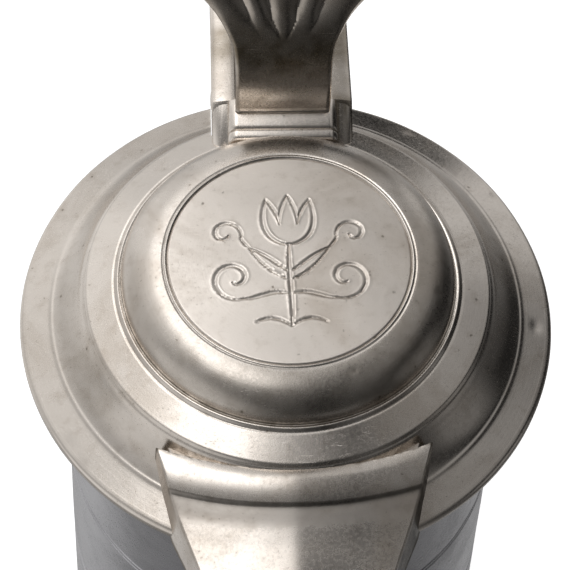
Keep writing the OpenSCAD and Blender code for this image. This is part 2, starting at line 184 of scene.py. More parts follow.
def hinge_rod(name, r, half_length, steps):
    """Rod about the hinge's axis."""
    return prism(name, circle(HINGE_Y, HINGE_Z, r, steps), -half_length, half_length)


def bake_modifiers(obj):
    deps = bpy.context.evaluated_depsgraph_get()
    mesh = bpy.data.meshes.new_from_object(obj.evaluated_get(deps))
    old = obj.data
    obj.modifiers.clear()
    obj.data = mesh
    bpy.data.meshes.remove(old)
    mesh.name = obj.name


def combine(obj, tool, operation, flush=False):
    """Boolean of obj with a tool that is used up; flush where faces coincide."""
    mod = obj.modifiers.new("combine", "BOOLEAN")
    mod.operation, mod.solver, mod.object = operation, "EXACT", tool
    mod.use_self = flush
    bake_modifiers(obj)
    bpy.data.objects.remove(tool)


def cut(obj, tool):
    combine(obj, tool, "DIFFERENCE")


def bevel(obj, width, segments=3, angle=32):
    mod = obj.modifiers.new("bevel", "BEVEL")
    mod.width, mod.segments = width * MM, segments
    mod.limit_method, mod.angle_limit = "ANGLE", radians(angle)
    bake_modifiers(obj)
    return obj


def wobble(points, size, length, seed):
    """Smooth irregularity of hand work: shifts of about size over waves of about length."""
    waves = np.random.default_rng(seed)
    total = np.zeros(points.shape[:-1])
    for _ in range(9):
        way = waves.normal(size=3)
        way *= 2 * pi / (length * waves.uniform(0.6, 1.6) * np.linalg.norm(way))
        total += np.sin(points @ way + waves.uniform(0, 2 * pi))
    return size * total / 3


def read(items, name, width, kind=float):
    """One property of all items of a mesh, a row for each."""
    values = np.empty(len(items) * width, kind)
    items.foreach_get(name, values)
    return values.reshape(-1, width)


def dress(obj, sharp_angle=34, cavity_steps=3, patina_and_shade=None, satin=None):
    """Smooth shading, and attributes for the finish.

    cavity is high in hollows and low on edges; the darkening function says which points, in millimetres,
    are darker, by patina and by painted shade, and satin says which points are rougher.
    """
    mesh = obj.data
    mesh.shade_smooth()
    mesh.set_sharp_from_angle(angle=radians(sharp_angle))
    count = len(mesh.vertices)
    co = read(mesh.vertices, "co", 3)
    normal = read(mesh.vertex_normals, "vector", 3)
    a, b = read(mesh.edges, "vertices", 2, int).T
    span = co[b] - co[a]
    way = span / np.maximum(np.linalg.norm(span, axis=1), 1e-9)[:, None]

    def gathered(at_a, at_b):
        total = np.zeros(count)
        np.add.at(total, a, at_a)
        np.add.at(total, b, at_b)
        return total

    number = np.maximum(gathered(1, 1), 1)
    rise_a, rise_b = (np.einsum("ij,ij->i", way, normal[end]) for end in (a, b))
    lift = gathered(rise_a, -rise_b) / number
    for _ in range(cavity_steps):
        lift = 0.4 * lift + 0.6 * gathered(lift[b], lift[a]) / number
    rougher = satin(co / MM) if satin else np.zeros(count)
    levels = {"cavity": np.clip(0.5 + 2.2 * lift * (1 - 0.7 * rougher), 0, 1),
              "patina_and_shade": patina_and_shade(co / MM) if patina_and_shade else np.zeros(count),
              "satin": rougher}
    for name, level in levels.items():
        layer = mesh.attributes.new(name, "FLOAT", "POINT")
        layer.data.foreach_set("value", level.astype(np.float32))
    return obj


def enter(obj, body, node, material):
    """Puts a finished piece into the frame."""
    obj.data.materials.clear()
    obj.data.materials.append(material)
    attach(obj, body)
    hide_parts(node)


# Camera at the photograph's viewing angle

CAMERA_DISTANCE, CAMERA_ELEVATION = 377.0, 59.025
CAMERA_PAN, CAMERA_TILT, CAMERA_ROLL, OBJECT_TURN = 0.100, 0.821, -3.225, -4.8
FOCAL_PIXELS, IMAGE_PIXELS, SENSOR = 1724.1, 570, 36.0


def turned(axis, angle):
    return Matrix.Rotation(radians(angle), 4, axis)


def make_camera():
    """Camera aimed at the flange's middle, then turned a little about its own axes."""
    lens = bpy.data.cameras.new("camera")
    lens.sensor_width, lens.lens = SENSOR, FOCAL_PIXELS / IMAGE_PIXELS * SENSOR
    lens.clip_start, lens.clip_end = 0.01, 50
    obj = bpy.data.objects.new("camera", lens)
    aim = Matrix.Translation((0, 0, FLANGE_Z * MM)) @ turned("Z", OBJECT_TURN)
    aim = aim @ turned("X", 90 - CAMERA_ELEVATION) @ Matrix.Translation((0, 0, CAMERA_DISTANCE * MM))
    obj.matrix_world = aim @ turned("Y", CAMERA_PAN) @ turned("X", CAMERA_TILT) @ turned("Z", -CAMERA_ROLL)
    bpy.context.scene.collection.objects.link(obj)
    bpy.context.scene.camera = obj


make_camera()


# Materials

class Graph:
    """Short hand for the nodes of a material or a world."""

    def __init__(self, owner):
        owner.use_nodes = True
        self.owner, self.tree = owner, owner.node_tree

    def feed(self, node, inputs):
        for key, value in inputs.items():
            if isinstance(value, bpy.types.NodeSocket):
                self.tree.links.new(value, node.inputs[key])
            else:
                node.inputs[key].default_value = value

    def node(self, kind, inputs=None, **settings):
        made = self.tree.nodes.new(kind)
        for key, value in settings.items():
            setattr(made, key, value)
        self.feed(made, inputs or {})
        return made

    def math(self, operation, total, *others):
        """One operation, carried on over all the values."""
        for other in others:
            total = self.node("ShaderNodeMath", {0: total, 1: other}, operation=operation).outputs[0]
        return total

    def plus(self, *values):
        return self.math("ADD", *values)

    def less(self, *values):
        return self.math("SUBTRACT", *values)

    def times(self, *values):
        return self.math("MULTIPLY", *values)

    def mix(self, factor, a, b):
        return self.node("ShaderNodeMix", {0: factor, 6: a, 7: b}, data_type="RGBA").outputs[2]

    def span(self, value, low, high, out_low=0, out_high=1):
        """Smooth step from out_low at low to out_high at high."""
        made = self.node("ShaderNodeMapRange", {0: value, 1: low, 2: high, 3: out_low, 4: out_high},
                         interpolation_type="SMOOTHSTEP")
        return made.outputs[0]

    def noise(self, vector, scale, detail=3, rough=0.55, distortion=0):
        made = self.node("ShaderNodeTexNoise", {"Vector": vector, "Scale": scale, "Detail": detail,
                                                "Roughness": rough, "Distortion": distortion})
        return made.outputs["Fac"]

    def moved(self, vector, turn=(0, 0, 0), scale=(1, 1, 1)):
        made = self.node("ShaderNodeMapping", {"Vector": vector, "Rotation": turn, "Scale": scale})
        return made.outputs[0]


# Scratches: a turn about each axis, and a length
SCRATCHES = [((0.2, 0.1, 0.5), 9), ((0.1, 0.3, -1), 7), ((0.1, 0.2, 1.75), 12), ((0.3, -0.2, 2.5), 8)]
SCRATCH_W, RELIEF_DEPTH = 0.16, 0.00016


def scratches(g, place, turn, length):
    """Thin broken lines along one direction."""
    stretched = g.moved(place, turn, (1 / length, 1 / SCRATCH_W, 1 / SCRATCH_W))
    return g.span(g.noise(stretched, 1, detail=1, rough=0.4), 0.72, 0.8)


def brighter(colour, factor):
    return tuple(min(1, c * factor) for c in colour[:3]) + (1,)


def pewter(name, clean, dull, grime, stain_and_shade, rough, turned_lines=0, relief=0.4):
    """Worn pewter: rubbed bright on edges with a painted highlight, dull in patches, grimy in hollows,
    darkened by patina and by painted shade.
    """
    g = Graph(bpy.data.materials.new(name))
    place = g.moved(g.node("ShaderNodeTexCoord").outputs["Object"], scale=(1 / MM, 1 / MM, 1 / MM))
    cavity, patina_and_shade, satin = (g.node("ShaderNodeAttribute", attribute_name=n).outputs["Fac"]
                             for n in ("cavity", "patina_and_shade", "satin"))
    patches = g.noise(place, 0.05, detail=4, rough=0.6, distortion=0.5)
    mottle = g.noise(place, 0.32, detail=5, rough=0.6)
    speckle = g.noise(place, 1.5, detail=4, rough=0.7)
    grain = g.noise(place, 3.4, detail=2, rough=0.6)

    dull_mask = g.plus(g.span(patches, 0.44, 0.7, 0, 0.7), g.span(mottle, 0.5, 0.74, 0, 0.35))
    colour = g.mix(g.math("MINIMUM", dull_mask, 0.9), clean, dull)
    # Stain colour where the piece's darkening map asks: real patina in some places, painted shade and
    # painted dark reflections in others.
    stain_and_shade_mask = g.times(patina_and_shade, g.span(mottle, 0.3, 0.7, 0.75, 1))
    colour = g.mix(stain_and_shade_mask, colour, stain_and_shade)
    dots = g.times(g.span(speckle, 0.6, 0.74), g.span(patches, 0.4, 0.62, 0.1, 0.55))
    colour = g.mix(dots, colour, grime)
    uneven = g.times(g.less(mottle, 0.5), 0.3)
    hollow = g.span(g.plus(cavity, uneven), 0.53, 0.84)
    colour = g.mix(g.times(hollow, 0.85), colour, grime)
    # Rubbed edges, brightened past the clean colour: wear together with a painted highlight.
    edge = g.span(cavity, 0.45, 0.2, 0, 0.55)
    colour = g.mix(edge, colour, brighter(clean, 1.3))
    cells = g.node("ShaderNodeTexVoronoi", {"Vector": place, "Scale": 0.5, "Randomness": 1})
    pit = g.times(g.span(cells.outputs["Distance"], 0.24, 0.08), g.span(mottle, 0.58, 0.68))
    colour = g.mix(g.times(pit, 0.75), colour, grime)
    marks = g.times(g.plus(*[scratches(g, place, *row) for row in SCRATCHES]),
                    g.span(g.noise(place, 0.11, 2), 0.42, 0.62))
    colour = g.mix(g.times(marks, 0.35), colour, brighter(clean, 1.2))

    roughness = g.plus(g.span(patches, 0.3, 0.7, rough - 0.03, rough + 0.05), g.times(hollow, 0.22),
                       g.span(speckle, 0.35, 0.7, -0.02, 0.06), g.times(satin, 0.14))
    height = g.less(g.plus(g.times(grain, 0.18), g.times(mottle, 0.36)),
                    g.times(marks, 0.25), g.times(g.plus(pit, dots), 0.25))
    if turned_lines:
        x, y, z = g.node("ShaderNodeSeparateXYZ", {0: place}).outputs
        radius = g.math("SQRT", g.plus(g.math("POWER", x, 2), g.math("POWER", y, 2)), 0)
        rings = g.node("ShaderNodeCombineXYZ", {0: radius, 1: z}).outputs[0]
        height = g.plus(height, g.times(g.noise(rings, 2.2, 3), turned_lines))
    bump = g.node("ShaderNodeBump", {"Strength": relief, "Distance": RELIEF_DEPTH, "Height": height})
    g.feed(g.tree.nodes["Principled BSDF"], {"Base Color": colour, "Metallic": 1,
                                             "Roughness": roughness, "Normal": bump.outputs[0]})
    return g.owner


WARM = dict(clean=(0.745, 0.685, 0.625, 1), dull=(0.55, 0.485, 0.42, 1),
            grime=(0.13, 0.108, 0.08, 1))
COOL = dict(clean=(0.52, 0.51, 0.53, 1), dull=(0.37, 0.365, 0.38, 1), grime=(0.10, 0.095, 0.095, 1),
            stain_and_shade=(0.27, 0.265, 0.27, 1))
DARK = dict(clean=(0.30, 0.28, 0.26, 1), dull=(0.20, 0.17, 0.15, 1), grime=(0.10, 0.07, 0.05, 1),
            stain_and_shade=(0.14, 0.11, 0.09, 1))
# Its stain colour also serves as painted shade on the lid's outer edge.
LID = pewter("pewter_lid", **WARM, stain_and_shade=(0.2, 0.17, 0.135, 1),
             rough=0.22, turned_lines=0.18, relief=0.3)
# Its stain colour serves as painted shade on the thumbpiece's stem and the hinge block's right end.
LID_CAST = pewter("pewter_cast", **WARM, stain_and_shade=(0.19, 0.155, 0.11, 1),
                  rough=0.23, relief=0.25)
BODY = pewter("pewter_body", **COOL, rough=0.24, turned_lines=0.25)
BODY_CAST = pewter("pewter_spout", **COOL, rough=0.25)
# Near-black stain colour: painted shade for the cover's right wall and the line just below the roll.
COVER = pewter("pewter_cover", **WARM, stain_and_shade=(0.06, 0.05, 0.042, 1),
               rough=0.23, relief=0.1)
# Its stain colour also serves as painted shade on the strap's right side and right cheek.
HANDLE = pewter("pewter_handle", **WARM, stain_and_shade=(0.30, 0.255, 0.2, 1), rough=0.24)
IRON = pewter("iron_pin", **DARK, rough=0.5)


# Lid shell, turned

def groove(r, centre, width):
    return np.exp(-((r - centre) / width) ** 2)


def lid_height(r):
    """Height of the lid's outside over the radius, without lines and beads."""
    z = DISC_Z - DISC_CROWN * np.minimum(r / DISC_R, 1) ** 2
    share = (r - DISC_R) / (DOME_R - DISC_R)
    dome = DOME_Z + (DOME_RISE - DISC_CROWN) * np.sqrt(np.clip(1 - share ** 2, 0, 1))
    z = np.where(r > DISC_R, dome, z)
    band = DOME_Z + (BAND_Z - DOME_Z) * (r - DOME_R) / (BAND_R - DOME_R)
    z = np.where(r > DOME_R, band, z)
    share = (r - BAND_R) / (CREASE_R - BAND_R)
    slope = BAND_Z + (CREASE_Z - BAND_Z) * (share + HOLLOW_SAG * np.sin(pi * share))
    flange = CREASE_Z + (FLANGE_Z - CREASE_Z) * (r - CREASE_R) / (FLANGE_R - CREASE_R)
    hollow = (slope + flange) / 2 + np.hypot((slope - flange) / 2, CREASE_ROUND)
    return np.where(r > BAND_R, hollow, z)


# Radii sampled on the lid's outside, denser at its lines: first, last, number
LID_RUNS = [(0, 23.8, 84), (24.0, 27.6, 37), (27.9, 33.6, 15), (33.8, 37.6, 36), (37.9, 42, 12),
            (42.2, 45.6, 26), (45.8, 53, 37), (53.3, 56.6, 8)]
# Incised lines and beads: radius, height, width
LID_LINES = [(DISC_R - 0.4, -0.22, 0.2), (DISC_R + 0.5, -0.1, 0.2), (DISC_R + 0.05, 0.12, 0.2),
             (DOME_R + 1.5, -0.12, 0.28), (DOME_R + 0.75, 0.3, 0.4), (BAND_R + 0.1, -0.34, 0.26),
             (BAND_R + 1.0, 0.15, 0.5), (CREASE_R + 0.2, 0.12, 0.35)]


def lid_profile():
    """Outside from the axis to the edge, then the underside back."""
    r = np.concatenate([np.linspace(*run) for run in LID_RUNS])
    z = lid_height(r)
    for centre, height, width in LID_LINES:
        z += height * groove(r, centre, width)
    edge = [(FLANGE_R - a, FLANGE_Z + b) for a, b in ((0.9, 0.34), (0.5, 0.14), (0.2, -0.2), (0, -0.7))]
    edge += [(FLANGE_R - a, RIM_Z + b) for a, b in ((0, 0.6), (0.25, 0.15), (0.7, 0))]
    under = [(54, RIM_Z), (48, RIM_Z), (BEZEL_INNER_R, RIM_Z), (BEZEL_INNER_R, BAND_Z - 2 * LID_WALL)]
    inner_r, inner_z = DISC_R - LID_WALL / 2, DISC_Z - LID_WALL
    for a in range(90, -1, -10):
        s, c = sin(radians(a)), cos(radians(a))
        under.append((inner_r + (DOME_R - LID_WALL - inner_r) * s, inner_z - DOME_RISE + DOME_RISE * c))
    under += [(15, inner_z), (0, inner_z)]
    return list(zip(r, z)) + edge + under


def bezier(*points):
    a, b, c, d = np.array(points, float)
    t = np.linspace(0, 1, 14)[:, None]
    return (1 - t) ** 3 * a + 3 * t * (1 - t) ** 2 * b + 3 * t * t * (1 - t) * c + t ** 3 * d


def spiral(x, y, r0, r1, a0, a1):
    t = np.linspace(0, 1, 30)
    r, a = r0 + (r1 - r0) * t, np.radians(a0 + (a1 - a0) * t)
    return stack(x + r * np.cos(a), y + r * np.sin(a))


def sprig():
    """Engraved tulip between two leaf scrolls, each stroke with its half width."""
    half = [
        (bezier((0, 3), (-4.6, 3.4), (-6.6, 8), (-4.6, 14.5)), 0.42),
        (bezier((-4.6, 14.5), (-3.2, 12.6), (-2.2, 10.6), (-1.9, 8.2)), 0.34),
        (bezier((-1.9, 8.2), (-1.9, 11), (-1.2, 13.4), (0, 15.6)), 0.3),
        (bezier((0, -9), (-4, -7.6), (-6.6, -10.2), (-9.6, -10)), 0.44),
        (spiral(-11.6, -5.2, 5.2, 1.0, -67, -470), 0.42),
        (bezier((0, -3.6), (-2.6, -2.2), (-4.4, 0.4), (-8.4, 2.2)), 0.36),
        (bezier((-8.4, 2.2), (-5.6, -2.6), (-2.4, -4.8), (0, -5.6)), 0.3),
        (spiral(-13.4, 5.8, 3.6, 0.8, -20, 330), 0.36),
        (bezier((-8.4, 2.2), (-9, 3), (-9.8, 3.8), (-10.0, 4.6)), 0.3),
        (bezier((0, -16.6), (-2.6, -14.4), (-4.8, -14.2), (-7.2, -15.6)), 0.36),
    ]
    strokes = [(bezier((0, -16.6), (0.5, -11), (-0.5, -4), (0, 3)), 0.44)]
    for line, width in half:
        strokes.append((line, width))
        strokes.append((line * np.array([-1, 1]), width))
    return strokes


ENGRAVED_DEPTH, BURR_H, ENGRAVED_R = 0.28, 0.05, 24.0


def engraving(x, y):
    """Depth of the engraved lines at points of the lid's flat top."""
    depth = np.zeros_like(x)
    for line, width in sprig():
        share = np.linspace(0, 1, len(line) - 1)
        swell = width * (0.5 + 0.4 * np.sin(pi * share))
        for (x0, y0), (x1, y1), w in zip(line[:-1], line[1:], swell):
            reach = 4 * w + hypot(x1 - x0, y1 - y0)
            near = np.nonzero(np.hypot(x - x0, y - y0) < reach)
            dx, dy = x1 - x0, y1 - y0
            t = ramp((x[near] - x0) * dx + (y[near] - y0) * dy, dx * dx + dy * dy + 1e-12)
            away = np.hypot(x[near] - x0 - t * dx, y[near] - y0 - t * dy) / w
            cut = ENGRAVED_DEPTH * np.exp(-away ** 2) - BURR_H * groove(away, 2, 0.7)
            depth[near] = np.where(np.abs(cut) > np.abs(depth[near]), cut, depth[near])
    return depth


# Nicks: x, y, reach, depth
NICKS = [(-47, -32, 1.4, 0.14), (-44, -37, 1.2, 0.1), (30, 46, 1.0, 0.2), (47, 30, 1.1, 0.2),
         (-20, 25, 1.0, 0.15), (12, -27, 0.8, 0.16), (-33, -8, 0.9, 0.15), (54, -6, 1.1, 0.22),
         (-53, 10, 1.2, 0.1), (31, -8, 0.9, 0.14)]


def lid_shape(points):
    """Engraving, nicks and the slight irregularity of an old lid."""
    x, y, z = np.moveaxis(points, -1, 0)
    r = np.hypot(x, y)
    top = (z > DISC_Z - 1.2) & (r < ENGRAVED_R)
    z = z - np.where(top, engraving(x, y), 0)
    outside = z > lid_height(r) - 1.0
    z = z + np.where(outside, wobble(points, size=0.07, length=26, seed=3), 0)
    for nick_x, nick_y, reach, deep in NICKS:
        away = (x - nick_x) ** 2 + (y - nick_y) ** 2
        z = z - np.where(outside, deep * np.exp(-away / reach ** 2), 0)
    return stack(x, y, z)


NOTCH_LOW, NOTCH_HIGH = (-NOTCH_W / 2, NOTCH_Y, RIM_Z - 2), (NOTCH_W / 2, 70, DISC_Z + 4)
lid_shell = lathe("lid_turned", lid_profile(), shape=lid_shape)
cut(lid_shell, box("notch", NOTCH_LOW, NOTCH_HIGH))


def ring_between(points, low, high, soft=0.8):
    """One between two radii of the lid, nothing elsewhere."""
    r = np.hypot(points[:, 0], points[:, 1])
    return ramp(r - low, soft) * ramp(high - r, soft)


def lid_patina_and_shade(points):
    """Painted shade round the outer edge; dark on the dome, most towards spout and right; a little
    elsewhere.
    """
    x, y, z = points.T
    dome = np.clip(0.28 + 0.25 * (0.5 * x - y) / DOME_R, 0, 0.6)
    dome = dome * ring_between(points, DISC_R + 0.6, DOME_R + 0.4)
    flange = 0.085 * np.clip(1 - x / FLANGE_R, 0, 2) * ring_between(points, CREASE_R, FLANGE_R + 2)
    top = np.clip(0.05 + 0.06 * (x + y) / DISC_R, 0, 1) * ring_between(points, -2.0, DISC_R)
    hollow = 0.24 * ring_between(points, BAND_R + 0.8, CREASE_R - 0.3, 1.6)
    # Painted shade: the flange's outer edge, below its top, is darkened almost fully.
    edge = (np.hypot(x, y) > FLANGE_R - 0.3) & (z < FLANGE_Z - 0.4)
    return np.where(edge, 0.85, dome + flange + top + hollow)


def lid_satin(points):
    return ring_between(points, -2.0, DISC_R) + 0.45 * ring_between(points, DISC_R + 0.6, DOME_R)


enter(dress(lid_shell, 40, 3, lid_patina_and_shade, lid_satin), "lid", "lid_shell", LID)

bezel_profile = [(BEZEL_INNER_R, RIM_Z), (BEZEL_INNER_R, BEZEL_Z + 0.4), (BEZEL_INNER_R + 0.4, BEZEL_Z),
                 (BEZEL_R - 0.5, BEZEL_Z), (BEZEL_R, BEZEL_Z + 0.5), (BEZEL_R, RIM_Z - 0.6),
                 (BEZEL_R + 0.3, RIM_Z)]
lid_bezel = lathe("lid_bezel_ring", bezel_profile, FEWER_SEGMENTS)
enter(dress(lid_bezel), "lid", "lid_bezel", LID)


# Spout cover: roll and tongue lofted in arcs about the bend of the roll

def tip_radius(half_w, reach):
    """Radius of the round tip that joins two sides closing in at the taper."""
    end_w = half_w - reach * tan(COVER_TAPER)
    return end_w * cos(COVER_TAPER) / (1 - sin(COVER_TAPER))


TOP_TIP_Y = COVER_TIP_Y + 1.1
TIP_R = tip_radius(COVER_W / 2, COVER_ROOT_Y - TOP_TIP_Y)
TIP_CENTRE_Y = TOP_TIP_Y + TIP_R
ROOT_RHO = COVER_BEND_R + ROLL_W
RIDGE_H, RIDGE_ROUND, EDGE_ROUND, SIDE_BOW = 1.3, 0.05, 0.45, 0.5
SOLDER_W, SOLDER_INSET, SOLDER_DROP, SOLDER_FALL = 4.0, 2.5, 1.0, 1.6
ROLL_FALL, STEP_W = 1.9, 0.6
COVER_WALL, COVER_LIP, COVER_GROWN, HOLLOW_BACK_Y = 2.2, 3.6, 1.5, -60.0
TONGUE_SHARES = np.array([[0, 1], [0.1, 0.78], [0.2, 0.61], [0.35, 0.4], [0.5, 0.25], [0.7, 0.11],
                          [1, 0]])


def cover_top(rho):
    """Height of the cover along its middle over the distance from the bend's axis."""
    roll = ROLL_Z - ROLL_FALL * ramp(rho - COVER_BEND_R, ROLL_W) ** 2
    way = ramp(rho - ROOT_RHO, COVER_AXIS_Y - COVER_TIP_Y - ROOT_RHO)
    tongue = TIP_Z + (TONGUE_Z - TIP_Z) * np.interp(way, TONGUE_SHARES[:, 0], TONGUE_SHARES[:, 1])
    step = ramp(rho - ROOT_RHO, STEP_W)
    z = roll + (tongue - roll) * step * step * (3 - 2 * step)
    behind = ramp(COVER_BEND_R - rho, SOLDER_W)
    return z - SOLDER_DROP * (behind > 0) - SOLDER_FALL * behind


def cover_inside(x, y, out=0.0):
    """How far a point lies inside the plan of the cover's top, grown by out."""
    side = COVER_W / 2 - tan(COVER_TAPER) * (COVER_ROOT_Y - y) - np.abs(x)
    side = side * cos(COVER_TAPER) + out + SIDE_BOW * groove(y, COVER_ROOT_Y, 9)
    tip_r = TIP_R + out
    tip = tip_r - np.hypot(x, y - TIP_CENTRE_Y)
    return np.where(y > TIP_CENTRE_Y - tip_r * sin(COVER_TAPER), side, tip)


def wall_draft(rho):
    """Lean of the side walls, which flare along the tongue."""
    return np.radians(np.interp(rho, [COVER_BEND_R, ROOT_RHO, ROOT_RHO + 6], [4, 8, 14]))


def arc_point(rho, theta):
    return rho * np.sin(theta), COVER_AXIS_Y - rho * np.cos(theta)


def edge_angle(rho, inset):
    """Half angle of the arc at rho that ends inset from the plan of the top."""
    low, high = np.zeros_like(rho), np.full_like(rho, 0.6)
    for _ in range(44):
        mid = (low + high) / 2
        x, y = arc_point(rho, mid)
        inside = cover_inside(x, y) > inset
        low, high = np.where(inside, mid, low), np.where(inside, high, mid)
    return low


def cover_rows():
    """Closed section loops from the back of the roll to the tip."""
    tip_rho = COVER_AXIS_Y - TIP_CENTRE_Y + TIP_R
    roll = COVER_BEND_R + ROLL_W * np.linspace(0, 1, 16)
    solder = COVER_BEND_R - SOLDER_W * np.array([1.0, 0.75, 0.5, 0.25, 0.08])
    tongue = ROOT_RHO + (tip_rho - ROOT_RHO) * np.sin(np.linspace(0, pi / 2, 66))
    step = ROOT_RHO + np.linspace(-1.4, 1.9, 17)
    rho = np.unique(np.concatenate([solder, roll[:-1], step, tongue[3:]]))
    z = cover_top(rho)
    inset = np.where(rho < COVER_BEND_R - 0.01, SOLDER_INSET, 0.0)
    inner, outer = edge_angle(rho, inset + EDGE_ROUND), edge_angle(rho, inset)
    cols = np.linspace(-1, 1, 61)
    theta = inner[:, None] * cols
    x, y = arc_point(rho[:, None], theta)
    crown = RIDGE_H * (1 - np.sqrt(cols ** 2 + RIDGE_ROUND ** 2))
    risen = ramp(rho - COVER_BEND_R + 1, 3) * ramp(tip_rho - rho, 10)
    top = stack(x, y, z[:, None] + risen[:, None] * crown)
    right = edge_run(rho, z, outer, top[:, -1])
    left = right[:, ::-1] * np.array([-1, 1, 1])
    low = right[:, -1]
    share = np.linspace(1, -1, 41)
    under_x = low[:, :1] * share
    under_y = low[:, 1:2] + (y[:, [30]] - low[:, 1:2]) * (1 - share ** 2)
    depth = cover_inside(under_x, under_y, COVER_GROWN)
    sunk = ramp(depth - COVER_LIP, 1.0) * ramp(HOLLOW_BACK_Y - under_y, 1.0)
    ceiling = np.maximum(z[:, None] - COVER_WALL, COVER_BASE_Z)
    under = stack(under_x, under_y, COVER_BASE_Z + (ceiling - COVER_BASE_Z) * sunk)
    return np.concatenate([top[:, :-1], right[:, :-1], under, left[:, 1:]], axis=1)


def edge_run(rho, z, outer, inner_point):
    """Rounded edge and drafted wall on the right, from the top to the base."""
    x, y = arc_point(rho, outer)
    round_part = y < TIP_CENTRE_Y - TIP_R * sin(COVER_TAPER)
    away = stack(x, y - TIP_CENTRE_Y)
    away /= np.maximum(np.hypot(x, y - TIP_CENTRE_Y), 1e-9)[:, None]
    flat = np.array([cos(COVER_TAPER), -sin(COVER_TAPER)])
    normal = np.where(round_part[:, None], away, flat)
    corner = stack(x, y, z)
    lean = np.tan(wall_draft(rho))

    def wall(drop):
        plan = corner[:, :2] + normal * (drop * lean)[:, None]
        return np.concatenate([plan, (z - drop)[:, None]], axis=-1)

    below = wall(np.full_like(z, EDGE_ROUND))
    run = [inner_point]
    for t in (0.2, 0.4, 0.6, 0.8):
        run.append((1 - t) ** 2 * inner_point + 2 * t * (1 - t) * corner + t * t * below)
    fall = z - COVER_BASE_Z
    run += [wall(EDGE_ROUND + (fall - EDGE_ROUND) * s) for s in np.linspace(0, 1, 9)]
    return np.stack(run, axis=1)


def make_cover():
    loops = cover_rows()
    rows, cols = loops.shape[:2]
    points = loops.reshape(-1, 3)
    points[:, 2] += wobble(points, size=0.05, length=16, seed=8)
    faces = grid_faces(rows, cols, False, True) + [tuple(range(cols))]
    return build("spout_cover_cast", points, faces)


def below_roll(points):
    """Distances from the bend's axis and below the roll, and the band there."""
    rho = np.hypot(points[:, 0], points[:, 1] - COVER_AXIS_Y)
    below = rho - COVER_BEND_R - ROLL_W
    return rho, below, ramp(below, 1.0) * ramp(5.5 - below, 2.0)


def cover_patina_and_shade(points):
    """Painted shade on the right wall and in a dark line just below the roll; a little patina on the band
    and the solder.
    """
    rho, below, band = below_roll(points)
    # Painted shade and painted dark reflection: the right wall is stained near black, the left wall stays
    # almost clean.
    wall = (points[:, 2] < cover_top(rho) - 0.8) & (rho > COVER_BEND_R)
    top = np.where(rho < COVER_BEND_R - 0.2, 0.1, 0.62 * groove(below, 0.5, 0.6) + 0.12 * band)
    return np.where(wall, np.clip(0.5 + points[:, 0], 0.05, 1), top)


def cover_satin(points):
    """Rougher solder behind the roll and on the band below it."""
    rho, _, band = below_roll(points)
    return np.where(rho < COVER_BEND_R, 1.0, 0.8 * band)


spout_cover = dress(make_cover(), 50, 1, cover_patina_and_shade, cover_satin)
enter(spout_cover, "lid", "spout_cover", COVER)


# Hinge block and knuckle

# Bead, groove and bar across the block's front, as [y, z]
BLOCK_MOULDING = [
    (33.5, BAND_Z), (33.5, 239.4), (33.6, 239.95), (33.95, 240.3), (34.6, 240.5), (35.2, 240.65),
    (35.35, 240.55), (35.45, 240.35), (35.65, 240.35), (35.75, 240.6), (35.95, 240.9), (36.4, 241.15),
    (37.2, 241.4), (39.6, BLOCK_Z - 0.1)]
BLOCK_ROUND, WING_RUN, WING_DROP, WING_KEEP, SWING_GAP = 2.2, 3.6, 2.8, 0.85, 0.5
CUT_LENGTH = 20


def make_hinge_lug():
    """Block with a moulded front, low wings beside it and the knuckle behind."""
    rear_y, wing_z = BLOCK_BACK_Y + 1, BAND_Z - LID_WALL
    outline = BLOCK_MOULDING + [(BLOCK_BACK_Y, BLOCK_Z), (rear_y, STRAP_TOP_Z - 2), (rear_y, BAND_Z)]
    block = pillow("block", outline, BLOCK_W / 2, BLOCK_ROUND, BLOCK_ROUND, BAND_Z)
    outline = [(WING_FRONT_Y, wing_z), (WING_FRONT_Y, WING_FRONT_Z),
               (WING_FRONT_Y + 0.5, WING_FRONT_Z + 0.8), (rear_y, STRAP_TOP_Z + 0.4), (rear_y, wing_z)]
    wing = pillow("wing", outline, STRAP_W / 2, WING_RUN, WING_DROP, wing_z, WING_KEEP)
    combine(block, wing, "UNION")
    cut(block, hinge_rod("swing", CHEEK_R + SWING_GAP, CUT_LENGTH, 96))
    neck = [(NOTCH_Y, CREASE_Z), (BLOCK_FRONT_Y + 3.0, BLOCK_Z - 0.6), (THUMB_BACK_Y, BLOCK_Z - 0.1),
            (THUMB_BACK_Y, HINGE_Z + KNUCKLE_R * 0.6), (HINGE_Y, HINGE_Z)]
    combine(block, prism("neck", neck, -KNUCKLE_W / 2, KNUCKLE_W / 2), "UNION")
    combine(block, hinge_rod("knuckle", KNUCKLE_R, KNUCKLE_W / 2, 72), "UNION")
    bevel(block, 0.25, 2, 40)
    cut(block, hinge_rod("bore", PIN_R + PIN_GAP, CUT_LENGTH, PIN_SEGMENTS))
    block.name = "hinge_block"
    return block


def lug_painted_shade(points):
    """Painted shade on the right end."""
    return ramp(points[:, 0] - 10.6, 1.2)


hinge_lug = dress(make_hinge_lug(), 50, 1, lug_painted_shade)
enter(hinge_lug, "lid", "hinge_lug", LID_CAST)


# Thumbpiece: fluted shell on a stem

